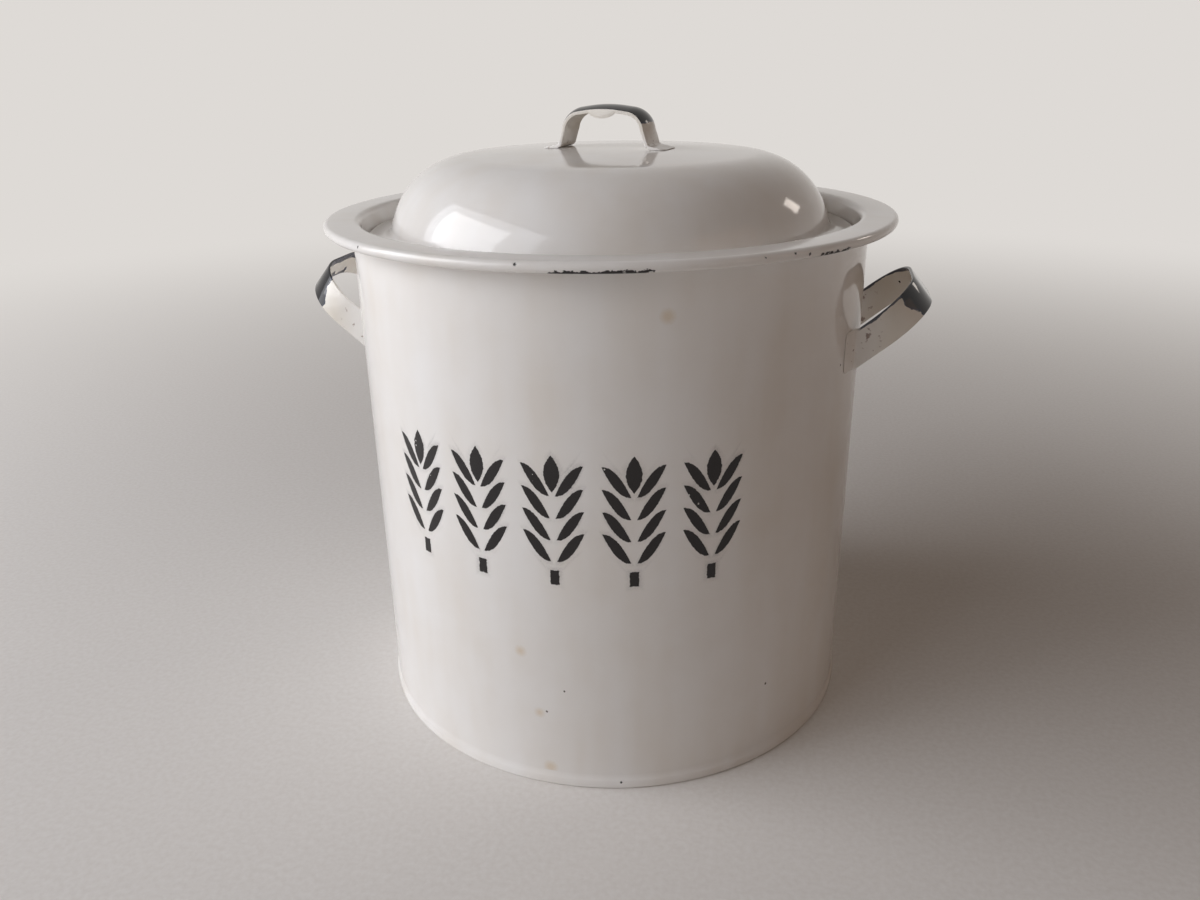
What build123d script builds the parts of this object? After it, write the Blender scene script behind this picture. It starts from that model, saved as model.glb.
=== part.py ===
"""Round enamelled bread bin with a recessed lift-off lid and strap handles.

Frame: millimetres, +Z up, origin at the centre of the foot ring on the surface that it stands on.
The stencilled front faces -Y and the two side handles lie on the X axis.
"""
import os
from math import asin, cos, degrees, hypot, radians, sin, sqrt, tan

from build123d import *

# ---- driving dimensions -------------------------------------------------------------------------
# Enamelled sheet
wall_sheet = 1.0        # side wall with its enamel
collar_sheet = 1.0      # rim collar
base_sheet = 1.1        # base pan
lid_sheet = 1.0         # lid shell
fit_gap = 0.1           # enamel gap where two sheets of the bin clasp or touch along a curve

# Bin
wall_diameter = 280.0   # outside of the side wall
rim_height = 282.0      # top of the rim flange above the surface
rim_overhang = 14.5     # from the outside of the wall to the outside of the rolled lip
seam_width = 9.0        # lap of the side wall's seam at the back
seam_rise = 0.6         # how far the flattened lap stands proud of the wall

# Rim collar
rim_wire_diameter = 3.0  # wire inside the rolled lip
lip_turn = 285.0         # degrees that the lip wraps round its wire
throat_bend = 3.0        # inner radius of the bend from the flange into the throat
throat_slope = 12.0      # degrees that the throat leans in from upright
ledge_depth = 11.0       # from the top of the flange down to the ledge
ledge_bend = 1.5         # inner radius of the bend from the throat into the ledge
ledge_width = 8.0        # from the throat's foot in to the ledge's turned-down edge
ledge_turn_down = 4.0    # height of the ledge's turned-down inner edge

# Base pan
foot_height = 6.0        # height of the folded foot ring
base_recess = 8.0        # clear height under the raised bottom
pan_bend = 4.0           # inner radius where the bottom turns down into the foot
foot_bend = 0.1          # inner radius of the fold under the wall's edge

# Lid shell
lid_play = 1.3           # play all round between the lid's edge and the foot of the throat
lid_seat_gap = 0.3       # running gap between the lid's folded edge and the ledge
lid_flange_width = 11.4  # from the widest part of the dome out to the lid's edge
dome_height = 41.0       # top of the crown above the lid's flange
shoulder_radius = 45.0   # shoulder of the dome, outside
crown_radius = 1100.0    # nearly flat crown, outside
root_radius = 4.0        # concave root between dome and flange, outside
hem_width = 3.0          # how far the lid's edge is folded back
hem_bend = 0.05          # inner radius of that fold

# Lid handle
lid_strap_width = 20.0
lid_strap_sheet = 1.8
lid_handle_span = 49.0   # between the middles of the two legs
lid_handle_rise = 22.7   # peak of the strap above the crown, before the peak is rounded
lid_handle_bow = 3.4     # how far the strap's peak stands above its two corners
lid_handle_bend = 11.0   # inner radius of the corners
lid_handle_peak = 70.0   # radius over the peak
lid_foot_length = 11.0   # foot flange beyond the leg
lid_foot_bend = 1.6      # inner radius where the leg turns into the foot
lid_foot_corner = 4.0    # rounded corners of the foot flanges
lid_handle_turn = -10.0  # degrees about +Z from the side handles' line, as the lid lies at rest

# Side handles
strap_width = 16.5
strap_sheet = 1.8
handle_span = 76.0       # between the middles of the two legs
handle_reach = 38.0      # from the wall to the middle of the strap, along the slope
handle_slope = 40.0      # degrees up from level
handle_drop = 62.0       # from the rim down to where the strap's middle plane meets the wall
handle_bend = 27.0       # inner radius of the strap's two bends
tab_length = 12.0        # foot tab beyond the leg, along the wall
tab_corner = 5.0         # rounded corners of the foot tab

# ---- sizes worked out from them -----------------------------------------------------------------
wall_radius = wall_diameter / 2
wall_inside = wall_radius - wall_sheet

# Rim: middle line of the sheet
half_collar = collar_sheet / 2
flange_mid = rim_height - half_collar
lip_mid_radius = rim_wire_diameter / 2 + fit_gap + half_collar
lip_centre_r = wall_radius + rim_overhang - lip_mid_radius - half_collar
lip_centre_z = flange_mid - lip_mid_radius
ledge_top = rim_height - ledge_depth
ledge_mid = ledge_top - half_collar
throat_bend_mid = throat_bend + half_collar
ledge_bend_mid = ledge_bend + half_collar
flange_inner_r = wall_inside - fit_gap  # the flange is level outside this, so the wall can butt on it
throat_corner_r = flange_inner_r - throat_bend_mid * tan(radians((90 - throat_slope) / 2))
throat_foot_r = throat_corner_r - ledge_depth * tan(radians(throat_slope))
ledge_edge_r = throat_foot_r - ledge_width
wall_top = rim_height - collar_sheet

# Base: middle line of the sheet
half_base = base_sheet / 2
foot_bend_mid = foot_bend + half_base
foot_inner_mid = wall_inside - fit_gap - half_base
foot_outer_mid = wall_radius + fit_gap + half_base
wall_bottom = base_sheet + fit_gap
seam_bottom = foot_height + fit_gap  # the lap is pressed flat inside the foot's fold
pan_mid = base_recess + half_base
pan_bend_mid = pan_bend + half_base

# Lid: middle line of the sheet, with the centres of its arcs
half_lid = lid_sheet / 2
hem_mid_radius = hem_bend + half_lid
lid_flange_mid = ledge_top + lid_seat_gap + half_lid + 2 * hem_mid_radius
lid_flange_top = lid_flange_mid + half_lid
lid_top = lid_flange_top + dome_height
crown_centre_z = lid_top - crown_radius
lid_radius = throat_foot_r - half_collar - lid_play
shoulder_centre_r = lid_radius - lid_flange_width - shoulder_radius
shoulder_start = 90 - degrees(asin(shoulder_centre_r / (crown_radius - shoulder_radius)))
shoulder_centre_z = crown_centre_z + sqrt((crown_radius - shoulder_radius) ** 2 - shoulder_centre_r**2)
root_centre_z = lid_flange_top + root_radius
shoulder_end = degrees(asin((root_centre_z - shoulder_centre_z) / (shoulder_radius + root_radius)))
root_centre_r = shoulder_centre_r + (shoulder_radius + root_radius) * cos(radians(shoulder_end))
hem_centre_r = lid_radius - half_lid - hem_mid_radius

# Lid handle: the feet reach down to the crown where it is lowest under them
foot_end = lid_handle_span / 2 + lid_foot_length
foot_reach = hypot(foot_end, lid_strap_width / 2)
foot_sag = crown_radius - sqrt(crown_radius**2 - foot_reach**2)

# Side handles
slope = radians(handle_slope)
handle_height = rim_height - handle_drop
half_span = handle_span / 2
leg_set_back = wall_radius - sqrt(wall_radius**2 - half_span**2)
strap_root = leg_set_back / cos(slope) + strap_width / 2 * tan(slope) + strap_sheet
tab_height = strap_width / cos(slope)
tab_middle = handle_height - leg_set_back * tan(slope)


def collar_line():
    """Middle line of the rim collar, from the ledge's turned-down edge out to the rolled lip."""
    FilletPolyline(
        (ledge_edge_r, ledge_mid - ledge_turn_down),
        (ledge_edge_r, ledge_mid),
        (throat_foot_r, ledge_mid),
        (throat_corner_r, flange_mid),
        (lip_centre_r, flange_mid),
        radius=(ledge_bend_mid, ledge_bend_mid, throat_bend_mid),
    )
    CenterArc((lip_centre_r, lip_centre_z), lip_mid_radius, 90, -lip_turn)


def pan_line():
    """Middle line of the base pan: raised bottom, inner leg, fold under the wall's edge, outer leg."""
    FilletPolyline(
        (0, pan_mid),
        (foot_inner_mid, pan_mid),
        (foot_inner_mid, half_base),
        (foot_outer_mid, half_base),
        (foot_outer_mid, foot_height),
        radius=(pan_bend_mid, foot_bend_mid, foot_bend_mid),
    )


def lid_line():
    """Middle line of the lid shell: crown, shoulder, concave root, flange and folded edge."""
    CenterArc((0, crown_centre_z), crown_radius - half_lid, shoulder_start, 90 - shoulder_start)
    CenterArc(
        (shoulder_centre_r, shoulder_centre_z),
        shoulder_radius - half_lid,
        shoulder_end,
        shoulder_start - shoulder_end,
    )
    CenterArc((root_centre_r, root_centre_z), root_radius + half_lid, 180 + shoulder_end, 90 - shoulder_end)
    Line((root_centre_r, lid_flange_mid), (hem_centre_r, lid_flange_mid))
    CenterArc((hem_centre_r, lid_flange_mid - hem_mid_radius), hem_mid_radius, 90, -180)
    hem_mid = lid_flange_mid - 2 * hem_mid_radius
    Line((hem_centre_r, hem_mid), (hem_centre_r - hem_width, hem_mid))


def strap_line():
    """Middle line of a side handle's strap: two legs and the grip, starting inside the wall."""
    FilletPolyline(
        (-half_span, -strap_root),
        (-half_span, handle_reach),
        (half_span, handle_reach),
        (half_span, -strap_root),
        radius=handle_bend + strap_sheet / 2,
    )


def lid_strap_line():
    """Middle line of the lid handle, in its own upright plane, from foot to foot."""
    half_sheet = lid_strap_sheet / 2
    leg = lid_handle_span / 2
    foot_mid = lid_top - foot_sag + half_sheet
    corner_mid = lid_top + lid_handle_rise - lid_handle_bow - half_sheet
    peak_mid = lid_top + lid_handle_rise - half_sheet
    FilletPolyline(
        (-foot_end, foot_mid),
        (-leg, foot_mid),
        (-leg, corner_mid),
        (0, peak_mid),
        (leg, corner_mid),
        (leg, foot_mid),
        (foot_end, foot_mid),
        radius=(
            lid_foot_bend + half_sheet,
            lid_handle_bend + half_sheet,
            lid_handle_peak,
            lid_handle_bend + half_sheet,
            lid_foot_bend + half_sheet,
        ),
    )


def foot_tabs():
    """Outlines of a side handle's two foot tabs, seen along X: from under each leg out along the wall."""
    inner = half_span - strap_sheet / 2
    outer = half_span + tab_length
    with Locations(((inner + outer) / 2, tab_middle), (-(inner + outer) / 2, tab_middle)):
        RectangleRounded(outer - inner, tab_height, tab_corner)


# ---- sub-parts ----------------------------------------------------------------------------------
os.makedirs("parts", exist_ok=True)

with BuildPart() as side_wall:
    with BuildSketch(Plane.XY.offset(wall_bottom)):
        Circle(wall_radius)
        Circle(wall_inside, mode=Mode.SUBTRACT)
    extrude(amount=wall_top - wall_bottom)
    with BuildSketch(Plane.XY.offset(seam_bottom)):
        with Locations((0, wall_radius)):
            Rectangle(seam_width, 2 * seam_rise)
    extrude(amount=wall_top - seam_bottom)

with BuildPart() as rim_collar:
    with BuildSketch(Plane.XZ):
        with BuildLine():
            collar_line()
        trace(line_width=collar_sheet)
    revolve(axis=Axis.Z)

with BuildPart() as rim_wire:
    with BuildSketch(Plane.XZ):
        with Locations((lip_centre_r, lip_centre_z)):
            Circle(rim_wire_diameter / 2)
    revolve(axis=Axis.Z)

with BuildPart() as base_pan:
    with BuildSketch(Plane.XZ):
        with BuildLine():
            pan_line()
        trace(line_width=base_sheet)
    revolve(axis=Axis.Z)

with BuildPart() as lid_shell:
    with BuildSketch(Plane.XZ):
        with BuildLine():
            lid_line()
        trace(line_width=lid_sheet)
    revolve(axis=Axis.Z)

with BuildPart() as lid_handle:
    with BuildSketch(Plane.XZ.rotated((0, 0, lid_handle_turn))):
        with BuildLine():
            lid_strap_line()
        trace(line_width=lid_strap_sheet)
    extrude(amount=lid_strap_width / 2, both=True)
    foot_corners = lid_handle.edges().filter_by(Axis.Z).sort_by(SortBy.LENGTH)[:4]
    fillet(foot_corners, radius=lid_foot_corner)
    with Locations((0, 0, crown_centre_z)):
        Sphere(crown_radius + fit_gap, mode=Mode.SUBTRACT)


def side_handle(side):
    """A bent strap handle with its two foot tabs, on the +X side (1) or the -X side (-1)."""
    strap_plane = Plane(
        origin=(side * wall_radius, 0, handle_height),
        x_dir=(0, -side, 0),
        z_dir=(-side * sin(slope), 0, cos(slope)),
    )
    with BuildPart() as handle:
        with BuildSketch(Plane.YZ):
            foot_tabs()
        extrude(amount=side * (wall_radius + strap_sheet + fit_gap))
        with BuildSketch(Plane.XY.offset(tab_middle - tab_height)):
            Circle(wall_radius + strap_sheet + fit_gap)
            Circle(wall_radius + fit_gap, mode=Mode.SUBTRACT)
        extrude(amount=2 * tab_height, mode=Mode.INTERSECT)
        with BuildSketch(strap_plane):
            with BuildLine():
                strap_line()
            trace(line_width=strap_sheet)
        extrude(amount=strap_width / 2, both=True)
        with BuildSketch(Plane.XY):
            Circle(wall_radius + fit_gap)
        extrude(amount=rim_height, mode=Mode.SUBTRACT)
    return handle


left_handle = side_handle(-1)
right_handle = side_handle(1)

nodes = {
    "side_wall": side_wall,
    "rim_collar": rim_collar,
    "rim_wire": rim_wire,
    "base_pan": base_pan,
    "left_handle": left_handle,
    "right_handle": right_handle,
    "lid_shell": lid_shell,
    "lid_handle": lid_handle,
}
for label, node in nodes.items():
    node.part.label = label
    export_step(node.part, f"parts/{label}.step")
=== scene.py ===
"""Looks of a round enamelled bread bin, modelled with Blender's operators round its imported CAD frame.

Metres, in the CAD frame: +Z up, the stencilled front faces -Y and the two side handles lie on the X axis.
Sizes are written in millimetres and turned to metres by MM.
"""
import logging
from collections.abc import Callable, Mapping, Sequence
from dataclasses import dataclass, field
from enum import Enum
from math import asin, atan, atan2, copysign, cos, degrees, hypot, pi, radians, sin, sqrt, tan

import bmesh
import bpy
from mathutils import Matrix, Vector


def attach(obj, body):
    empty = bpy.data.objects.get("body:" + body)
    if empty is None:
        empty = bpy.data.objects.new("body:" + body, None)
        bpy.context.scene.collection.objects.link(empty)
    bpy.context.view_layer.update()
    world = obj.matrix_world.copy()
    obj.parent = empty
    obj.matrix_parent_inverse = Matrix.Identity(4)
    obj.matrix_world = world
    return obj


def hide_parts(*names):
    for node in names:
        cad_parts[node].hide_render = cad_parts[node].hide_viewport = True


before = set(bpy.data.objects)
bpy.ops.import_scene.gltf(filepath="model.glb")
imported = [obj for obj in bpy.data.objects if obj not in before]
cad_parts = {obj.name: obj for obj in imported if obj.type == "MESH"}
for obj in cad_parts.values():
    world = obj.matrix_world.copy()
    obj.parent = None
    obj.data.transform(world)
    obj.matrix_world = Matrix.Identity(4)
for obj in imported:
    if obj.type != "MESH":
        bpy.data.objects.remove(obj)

log = logging.getLogger("bread_bin")
MM = 0.001
ROUND_STEPS = 192  # steps of a full turn: 4.6 mm on the wall, which stands out 0.02 mm from a true circle
Z_AXIS = Vector((0, 0, 1))
ROUND_EDGE = (54, 18, -18, -54)  # turns of the points that round off a sheet's free edge, degrees
BACKDROP = "#DEDAD6"  # pale surroundings, where the floor ends


# ---- operator modelling -------------------------------------------------------------------------
def clear_selection() -> None:
    """Leaves edit mode and deselects every object, the CAD nodes among them."""
    if bpy.context.object and bpy.context.object.mode != "OBJECT":
        bpy.ops.object.mode_set(mode="OBJECT")
    bpy.ops.object.select_all(action="DESELECT")


def start_piece(name: str, plane_size: float = MM) -> bpy.types.Object:
    """Adds a plane at the origin as the start of a piece, and opens it in edit mode, all selected.

    Args:
        name: The piece's name.
        plane_size: Side of the plane in metres.

    Returns:
        The new object.
    """
    clear_selection()
    bpy.ops.mesh.primitive_plane_add(size=plane_size)
    piece = bpy.context.object
    piece.name = piece.data.name = name
    bpy.ops.object.mode_set(mode="EDIT")
    bpy.ops.mesh.select_mode(type="VERT")
    bpy.ops.mesh.select_all(action="SELECT")
    return piece


def pick(kind: str, test: Callable[[object], bool]) -> int:
    """Selects what passes a test in the mesh being edited, and nothing else.

    Args:
        kind: "VERT", "EDGE" or "FACE".
        test: Is given each vertex, edge or face of that kind.

    Returns:
        How many were selected.
    """
    bpy.ops.mesh.select_mode(type=kind)
    bpy.ops.mesh.select_all(action="DESELECT")
    mesh = bpy.context.object.data
    work = bmesh.from_edit_mesh(mesh)
    items = {"VERT": work.verts, "EDGE": work.edges, "FACE": work.faces}[kind]
    chosen = [item for item in items if test(item)]
    for item in chosen:
        item.select_set(True)
    work.select_flush_mode()
    bmesh.update_edit_mesh(mesh)
    return len(chosen)


def draw_line(points: Sequence[Vector]) -> None:
    """Draws a chain of edges in the piece being edited, by extruding one vertex from point to point.

    Args:
        points: The points of the chain, in metres.
    """
    bpy.ops.mesh.merge(type="CENTER")
    bpy.ops.transform.translate(value=points[0])
    for here, there in zip(points, points[1:]):
        bpy.ops.mesh.extrude_region_move(TRANSFORM_OT_translate={"value": there - here})


def spin_round() -> None:
    """Spins the section being edited once round the Z axis, then closes its seam and its poles."""
    bpy.ops.mesh.select_all(action="SELECT")
    bpy.ops.mesh.spin(steps=ROUND_STEPS, angle=2 * pi, center=(0, 0, 0), axis=(0, 0, 1))
    weld()


def weld() -> None:
    """Merges doubled vertices of the piece being edited and turns all its faces outwards."""
    bpy.ops.mesh.select_all(action="SELECT")
    bpy.ops.mesh.remove_doubles(threshold=0.002 * MM)
    bpy.ops.mesh.normals_make_consistent(inside=False)


def finish_piece(piece: bpy.types.Object, smooth_angle: float = 35.0) -> bpy.types.Object:
    """Leaves edit mode, puts the piece's place into its mesh and shades it.

    Args:
        piece: The piece that was edited.
        smooth_angle: Edges that turn by less than this many degrees are shaded smooth.

    Returns:
        The same piece.
    """
    if piece.mode != "OBJECT":
        bpy.ops.object.mode_set(mode="OBJECT")
    bpy.ops.object.transform_apply(location=True, rotation=True, scale=True)
    bpy.ops.object.shade_smooth_by_angle(angle=radians(smooth_angle))
    log.info("%s: %d faces", piece.name, len(piece.data.polygons))
    return piece


def apply_modifier(piece: bpy.types.Object, kind: str, **settings: object) -> None:
    """Adds a modifier to a piece in object mode and applies it.

    Args:
        piece: The piece, which is the active object.
        kind: The modifier's type, such as "MIRROR" or "BEVEL".
        **settings: Its settings by name.
    """
    modifier = piece.modifiers.new(kind.lower(), kind)
    for name, value in settings.items():
        setattr(modifier, name, value)
    bpy.ops.object.modifier_apply(modifier=modifier.name)


def start_strap(name: str, sheet: float, width: float, place: Matrix) -> bpy.types.Object:
    """Starts a strap from its end face, which is then pushed and spun along the strap's line.

    Args:
        name: The piece's name.
        sheet: The strap's thickness in mm.
        width: Its width in mm.
        place: Turns and moves the end face, whose own Z axis is the way ahead.

    Returns:
        The new object, in edit mode with the face selected.
    """
    piece = start_piece(name, 1.0)
    bpy.ops.transform.resize(value=(sheet * MM, width * MM, 1))
    bpy.ops.object.mode_set(mode="OBJECT")
    piece.matrix_world = place
    bpy.ops.object.transform_apply(location=True, rotation=True, scale=True)
    bpy.ops.object.mode_set(mode="EDIT")
    pick("FACE", lambda f: True)
    return piece


def mirror_strap(piece: bpy.types.Object, axis: int) -> None:
    """Opens the face that lies on the mirror plane and mirrors the half strap there.

    Args:
        piece: The half strap, in edit mode. It is left in object mode.
        axis: 0 where the halves lie along X, 1 along Y.
    """
    pick("FACE", lambda f: all(abs(v.co[axis]) < 0.001 * MM for v in f.verts))
    bpy.ops.mesh.delete(type="ONLY_FACE")
    weld()
    bpy.ops.object.mode_set(mode="OBJECT")
    apply_modifier(piece, "MIRROR", use_axis=(axis == 0, axis == 1, False), merge_threshold=0.01 * MM)


def round_strap(piece: bpy.types.Object, edge_round: float) -> None:
    """Rounds a strap's sharp edges.

    Args:
        piece: The strap, in object mode. It is left in edit mode.
        edge_round: Radius in mm.
    """
    apply_modifier(
        piece, "BEVEL", width=edge_round * MM, segments=3, limit_method="ANGLE", angle_limit=radians(50)
    )
    bpy.ops.object.mode_set(mode="EDIT")
    weld()


def between(value: float) -> float:
    """Keeps a value between 0 and 1."""
    return min(1.0, max(0.0, value))


@dataclass
class SheetLine:
    """Middle line of a bent sheet in the r-z plane, followed as the metal worker bends it."""

    r: float
    z: float
    heading: float
    sheet: float
    stations: list[tuple[float, float, float]] = field(default_factory=list)

    def __post_init__(self) -> None:
        """Notes the first station."""
        self.stations.append((self.r, self.z, self.heading))

    def ahead(self, length: float, cuts: int = 1) -> "SheetLine":
        """Goes straight on.

        Args:
            length: How far, in millimetres.
            cuts: Equal runs that the way is divided into.

        Returns:
            The line itself, so that calls can follow each other.
        """
        for _ in range(cuts):
            self.r += length / cuts * cos(radians(self.heading))
            self.z += length / cuts * sin(radians(self.heading))
            self.stations.append((self.r, self.z, self.heading))
        return self

    def bend(self, radius: float, turn: float, cuts: int) -> "SheetLine":
        """Goes round a bend.

        Args:
            radius: Radius of the middle line, in millimetres.
            turn: Degrees, positive to the left.
            cuts: Runs that the bend is divided into.

        Returns:
            The line itself, so that calls can follow each other.
        """
        side = 1 if turn > 0 else -1
        for _ in range(cuts):
            old, self.heading = self.heading, self.heading + turn / cuts
            self.r += side * radius * (sin(radians(self.heading)) - sin(radians(old)))
            self.z -= side * radius * (cos(radians(self.heading)) - cos(radians(old)))
            self.stations.append((self.r, self.z, self.heading))
        return self

    def through(self, corners: Sequence[tuple[float, float]], radii: Sequence[float]) -> "SheetLine":
        """Goes through corner points to the last one, rounding each corner but the last.

        Args:
            corners: (r, z) of the corners and of the end.
            radii: Middle-line radius at each corner.

        Returns:
            The line itself.
        """
        for (r, z), after, radius in zip(corners, corners[1:], radii):
            start_r, start_z, _ = self.stations[-1]
            turn = degrees(atan2(after[1] - z, after[0] - r)) - self.heading
            turn = (turn + 180) % 360 - 180
            used = radius * tan(radians(abs(turn) / 2))
            self.ahead(hypot(r - start_r, z - start_z) - used)
            self.bend(radius, turn, max(4, round(abs(turn) / 9)))
        last_r, last_z = corners[-1]
        return self.ahead(hypot(last_r - self.r, last_z - self.z))

    def outline(self, rounded_start: bool) -> list[Vector]:
        """Both faces of the sheet with a round edge at its free ends.

        Args:
            rounded_start: False where the line starts on the Z axis, so that the section stays open there.

        Returns:
            Points in metres, in the XZ plane, closed on themselves where the start is rounded.
        """
        left = [self.surface(station, 90) for station in self.stations]
        right = [self.surface(station, -90) for station in reversed(self.stations)]
        points = left + [self.surface(self.stations[-1], turn) for turn in ROUND_EDGE] + right
        if rounded_start:
            points += [self.surface(self.stations[0], turn - 180) for turn in ROUND_EDGE]
            points.append(left[0].copy())
        return points

    def surface(self, station: tuple[float, float, float], turn: float) -> Vector:
        """Gives the point of the sheet's surface beside a station.

        Args:
            station: Its r, z and heading.
            turn: Degrees from the heading to the point, positive to the left.

        Returns:
            The point in metres, in the XZ plane.
        """
        r, z, heading = station
        angle, half = radians(heading + turn), self.sheet / 2
        return Vector((r + half * cos(angle), 0, z + half * sin(angle))) * MM


@dataclass
class StrapLine:
    """A strap drawn along its middle line: its end face is pushed straight on or spun round a bend."""

    at: Vector
    along: Vector
    turn_axis: Vector

    def ahead(self, length: float) -> None:
        """Pushes the selected end face straight on, in metres."""
        bpy.ops.mesh.extrude_region_move(TRANSFORM_OT_translate={"value": self.along * length})
        self.at = self.at + self.along * length

    def bend(self, radius: float, turn: float, steps: int) -> None:
        """Spins the selected end face round a bend.

        Args:
            radius: Radius of the middle line, in metres.
            turn: Degrees about turn_axis by the right-hand rule.
            steps: Steps of the bend.
        """
        side = 1 if turn > 0 else -1
        centre = self.at + self.turn_axis.cross(self.along) * radius * side
        # Without a window spin turns the other way, so it gets the angle's negative.
        bpy.ops.mesh.spin(steps=steps, angle=-radians(turn), center=centre, axis=self.turn_axis)
        rotation = Matrix.Rotation(radians(turn), 3, self.turn_axis)
        self.at = centre + rotation @ (self.at - centre)
        self.along = rotation @ self.along


# ---- finishes -----------------------------------------------------------------------------------
Socket = bpy.types.NodeSocket
Value = float | tuple | Socket | None


def linear(srgb: str) -> tuple[float, float, float, float]:
    """Turns an sRGB hex colour into Blender's linear colour.

    Args:
        srgb: Such as "#F2EEE8".

    Returns:
        Linear red, green and blue, and an alpha of 1.
    """
    parts = [int(srgb[i : i + 2], 16) / 255 for i in (1, 3, 5)]
    return (*(c / 12.92 if c <= 0.04045 else ((c + 0.055) / 1.055) ** 2.4 for c in parts), 1.0)


class Recipe:
    """A material or a world being mixed: its node tree, and the one method that adds a node to it."""

    def __init__(self, owner: bpy.types.Material | bpy.types.World) -> None:
        """Empties the owner's node tree.

        Args:
            owner: The material or world that is mixed.
        """
        owner.use_nodes = True
        self.owner, self.tree = owner, owner.node_tree
        self.tree.nodes.clear()

    def add(
        self,
        kind: str,
        sockets: Mapping[int | str, Value] | Sequence[Value] = (),
        out: int | str = 0,
        **settings: object,
    ) -> Socket | None:
        """Adds a node with its settings and links.

        Args:
            kind: The node's type without "ShaderNode", and after a space its operation.
            sockets: What its inputs get, by name or in order: a number, a colour or another node's output.
            out: The output to return, by name or number.
            **settings: The node's own settings.

        Returns:
            The chosen output socket, or None where the node has none.
        """
        kind, _, operation = kind.partition(" ")
        made = self.tree.nodes.new("ShaderNode" + kind)
        if operation:
            made.operation = operation
        for name, value in settings.items():
            setattr(made, name, value)
        pairs = sockets.items() if isinstance(sockets, Mapping) else enumerate(sockets)
        for key, value in pairs:
            if isinstance(value, Socket):
                self.tree.links.new(value, made.inputs[key])
            elif value is not None:
                made.inputs[key].default_value = value
        return made.outputs[out] if made.outputs else None

    def sees_surroundings(self) -> Socket:
        """Tells apart the rays that see the pale surroundings.

        Returns:
            1 for rays of the camera, of gloss and of glass, and 0 for others.
        """
        path = self.add("LightPath").node.outputs
        mirrored = self.add("Math MAXIMUM", (path["Is Glossy Ray"], path["Is Transmission Ray"]))
        return self.add("Math MAXIMUM", (path["Is Camera Ray"], mirrored))


@dataclass(frozen=True)
class Mark:
    """A small flaw on the enamel: its place round the bin and how far it reaches."""

    azimuth: float  # degrees from the front towards +X
    height: float   # mm above the surface that the bin stands on
    radius: float   # mm


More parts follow.
